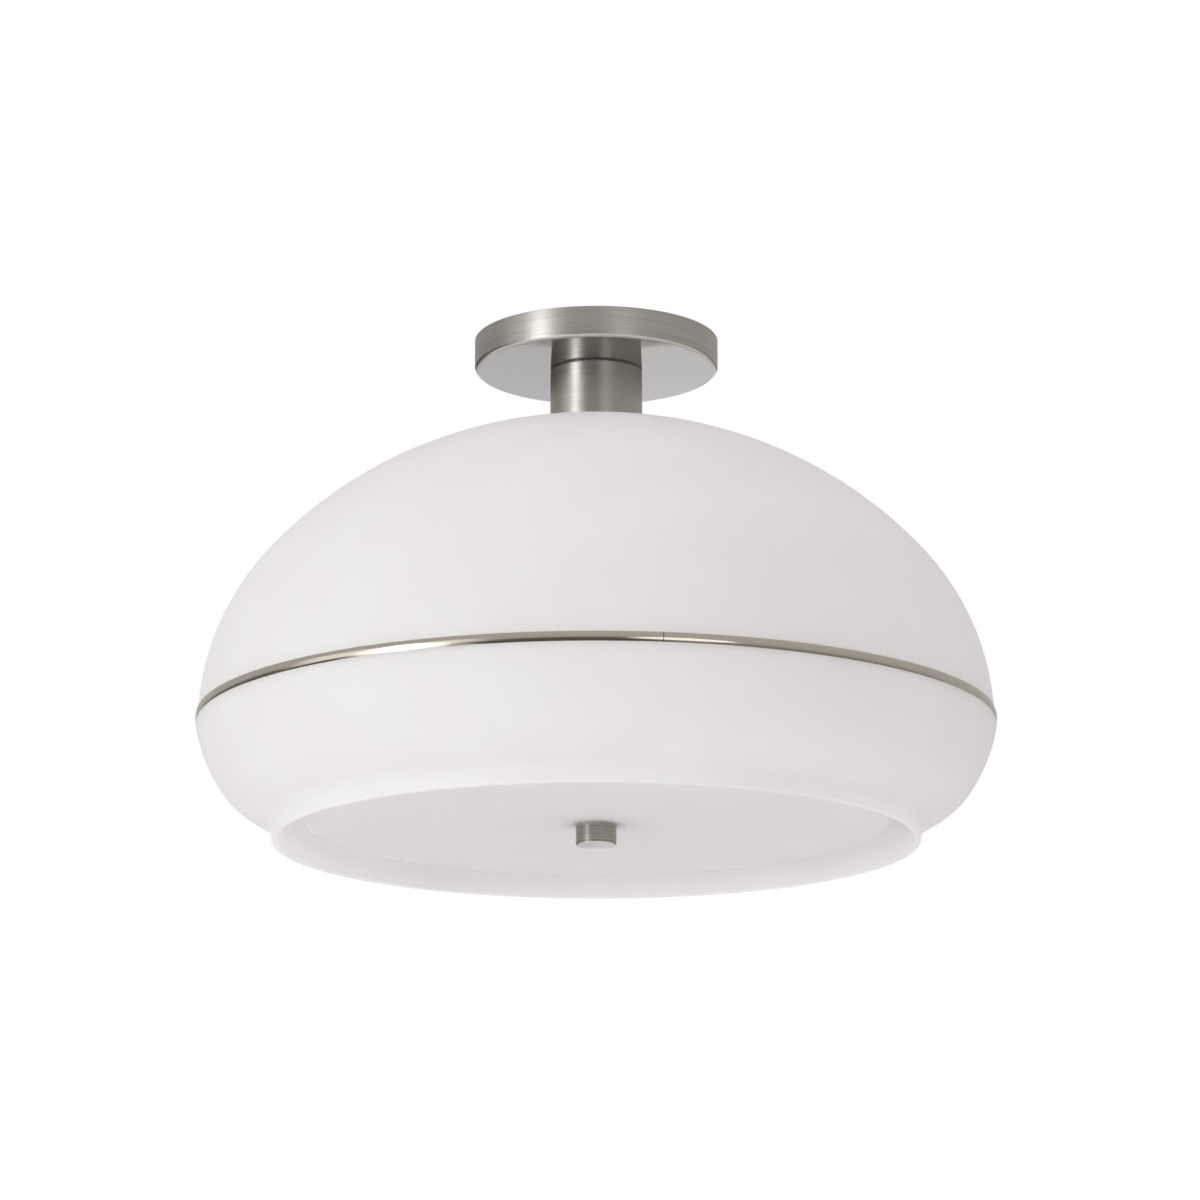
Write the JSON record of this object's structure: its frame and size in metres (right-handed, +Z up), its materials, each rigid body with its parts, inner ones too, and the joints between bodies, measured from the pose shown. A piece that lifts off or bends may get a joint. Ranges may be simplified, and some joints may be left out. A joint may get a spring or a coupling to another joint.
{
  "type": "flush mount ceiling light",
  "caption": "Round canopy on a short barrel carries an opal glass shade with a bright band; a frosted disc closes its mouth, held by a knob on a rod, with lamps inside.",
  "frame": {"origin": "centre of the canopy's rim, in the plane of the ceiling", "axes": "+Z up into the ceiling along the axis that everything is round about; the picture's camera is on the -Y side, with +X to its right"},
  "size_m": [0.4062, 0.4062, 0.2656],
  "materials": {
    "brushed_nickel": "satin, fine brushing round the turned faces",
    "polished_nickel": "polished nickel plate",
    "zinc_plate": "bright zinc plate",
    "green_screw": "green dyed zinc plate",
    "opal_glass": "satin opal, white through the wall",
    "frosted_glass": "white frosted, flat, ground edge",
    "white_enamel": "white baked enamel",
    "porcelain": "white glaze",
    "brass": "plain stamped brass",
    "aluminium": "bright stamped aluminium",
    "bulb_glass": "inside frosted white",
    "black_insulator": "black glass insulator with a soldered tip",
    "silicone": "translucent white silicone",
    "nylon": "natural nylon"
  },
  "bodies": {
    "fixture": {"canopy": "brushed_nickel", "stem_barrel": "brushed_nickel", "trim_ring": "polished_nickel", "mounting_crossbar": "zinc_plate", "hollow_nipple": "zinc_plate", "nipple_nuts": "zinc_plate", "stem_spacer_tube": "zinc_plate", "stem_base_disc": "zinc_plate", "glass_support_plate": "zinc_plate", "arm_nipples": "zinc_plate", "arm_nuts": "zinc_plate", "centre_rod": "zinc_plate", "rod_nuts": "zinc_plate", "stop_washer": "zinc_plate", "ground_screw": "green_screw", "glass_shade": "opal_glass", "cluster_hub": "white_enamel", "cluster_cap": "white_enamel", "upper_glass_washer": "silicone", "lower_glass_washer": "silicone", "lampholder_1": "porcelain", "screw_shell_1": "aluminium", "contact_tongue_1": "brass", "lampholder_2": "porcelain", "screw_shell_2": "aluminium", "contact_tongue_2": "brass", "lampholder_3": "porcelain", "screw_shell_3": "aluminium", "contact_tongue_3": "brass"},
    "diffuser": {"diffuser_disc": "frosted_glass", "diffuser_bush": "nylon", "diffuser_washer": "silicone"},
    "finial_washer": {"finial_washer": "nylon"},
    "finial": {"finial": "brushed_nickel"},
    "bulb_1": {"bulb_glass_1": "bulb_glass", "bulb_cap_1": "aluminium", "bulb_contact_1": "black_insulator"},
    "bulb_2": {"bulb_glass_2": "bulb_glass", "bulb_cap_2": "aluminium", "bulb_contact_2": "black_insulator"},
    "bulb_3": {"bulb_glass_3": "bulb_glass", "bulb_cap_3": "aluminium", "bulb_contact_3": "black_insulator"}
  },
  "joints": [
    {"name": "diffuser_drop", "type": "slide", "parent": "fixture", "child": "diffuser", "axis": [0, 0, -1], "range_m": [0, 0.15]},
    {"name": "finial_back_off", "type": "slide", "parent": "diffuser", "child": "finial_washer", "axis": [0, 0, -1], "range_m": [0, 0.007]},
    {"name": "finial_turn", "type": "hinge", "parent": "finial_washer", "child": "finial", "pos_m": [0, 0, -0.2606], "axis": [0, 0, -1], "range_deg": [0, 2676]},
    {"name": "bulb_1_unscrew", "type": "slide", "parent": "fixture", "child": "bulb_1", "axis": [0, 0.7071, -0.7071], "range_m": [0, 0.028]},
    {"name": "bulb_2_unscrew", "type": "slide", "parent": "fixture", "child": "bulb_2", "axis": [-0.6124, -0.3536, -0.7071], "range_m": [0, 0.028]},
    {"name": "bulb_3_unscrew", "type": "slide", "parent": "fixture", "child": "bulb_3", "axis": [0.6124, -0.3536, -0.7071], "range_m": [0, 0.028]}
  ],
  "couplings": [
    {"joint": "finial_back_off", "follows": "finial_turn", "m_per_rad": 0.00014961}
  ]
}
